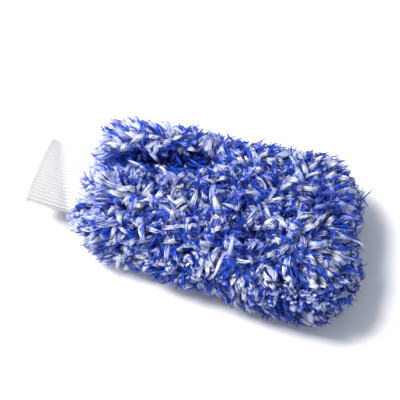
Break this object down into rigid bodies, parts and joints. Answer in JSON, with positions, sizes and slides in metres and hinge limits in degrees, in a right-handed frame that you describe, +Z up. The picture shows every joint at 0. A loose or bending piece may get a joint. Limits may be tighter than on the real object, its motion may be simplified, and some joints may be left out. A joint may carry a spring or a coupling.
{
  "type": "wash mitt",
  "caption": "Plush wash mitt: a long-pile blue and white shell sewn round a hand pocket, with a white rib-knit cuff that bends at the neck.",
  "frame": {"origin": "middle of the bounding box in plan, on the surface that the mitt lies on", "axes": "+X from the cuff to the fingertips, +Z up out of the resting face, +Y to the left of the hand pointing along +X"},
  "size_m": [0.3176, 0.1624, 0.0716],
  "materials": {
    "blue_pile": "matte",
    "white_yarn": "matte",
    "pile_backing": "matte",
    "lining_cloth": "matte",
    "elastic_band": "matte",
    "cuff_rib_knit": "matte"
  },
  "bodies": {
    "mitt": {"pile_top": "blue_pile", "pile_bottom": "blue_pile", "shell_backing_top": "pile_backing", "shell_backing_bottom": "pile_backing", "lining_top": "lining_cloth", "lining_bottom": "lining_cloth", "shell_seam_thread": "white_yarn", "lining_seam_thread": "white_yarn", "lining_tacks": "white_yarn", "neck_elastic": "elastic_band", "neck_seam_thread": "white_yarn"},
    "cuff": {"cuff_knit": "cuff_rib_knit", "cuff_seam_thread": "white_yarn"}
  },
  "joints": [
    {"name": "cuff_bend", "type": "hinge", "parent": "mitt", "child": "cuff", "pos_m": [-0.10478, -0.00165, 0.0325], "axis": [0, 1, 0], "range_deg": [-18, 40], "deforming": ["neck_elastic"]}
  ]
}
